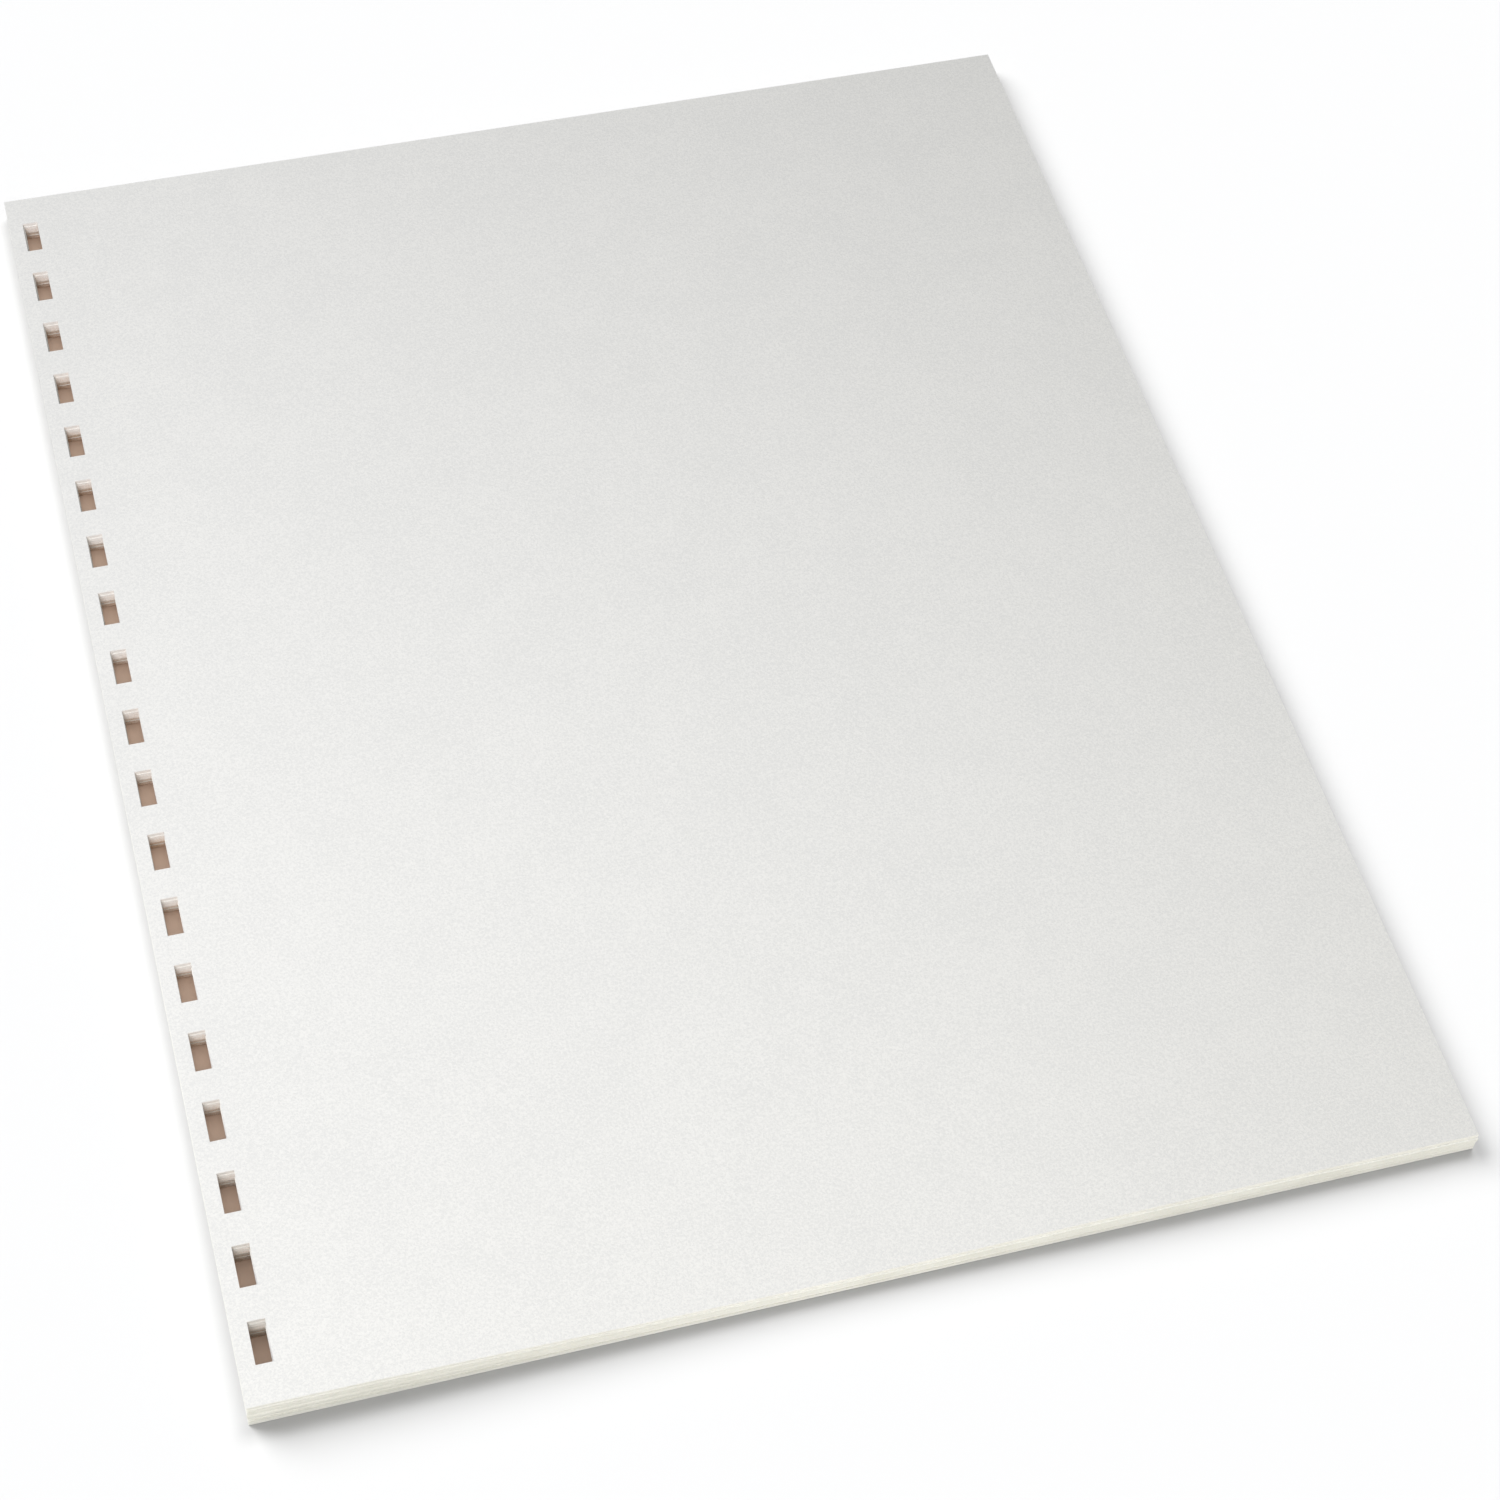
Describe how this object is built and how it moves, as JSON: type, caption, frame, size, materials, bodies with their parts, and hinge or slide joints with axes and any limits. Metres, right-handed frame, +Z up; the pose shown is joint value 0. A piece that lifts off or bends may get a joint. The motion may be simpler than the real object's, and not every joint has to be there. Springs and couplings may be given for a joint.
{
  "type": "comb binding punched paper",
  "caption": "Loose pile of plain white letter paper, lying flat, with a row of small rectangular holes punched along one long edge for a plastic comb binding.",
  "frame": {"origin": "middle of the underside, where the pile rests on a table", "axes": "+Z up through the sheets, +Y along the punched long edge, away from the reader, +X across the sheets, away from the punched edge"},
  "size_m": [0.2164, 0.2798, 0.0064],
  "materials": {
    "paper": "uncoated white bond paper, matt, with warm cream cut edges"
  },
  "bodies": {
    "root": {"punched_paper_stack": "paper"}
  },
  "joints": []
}
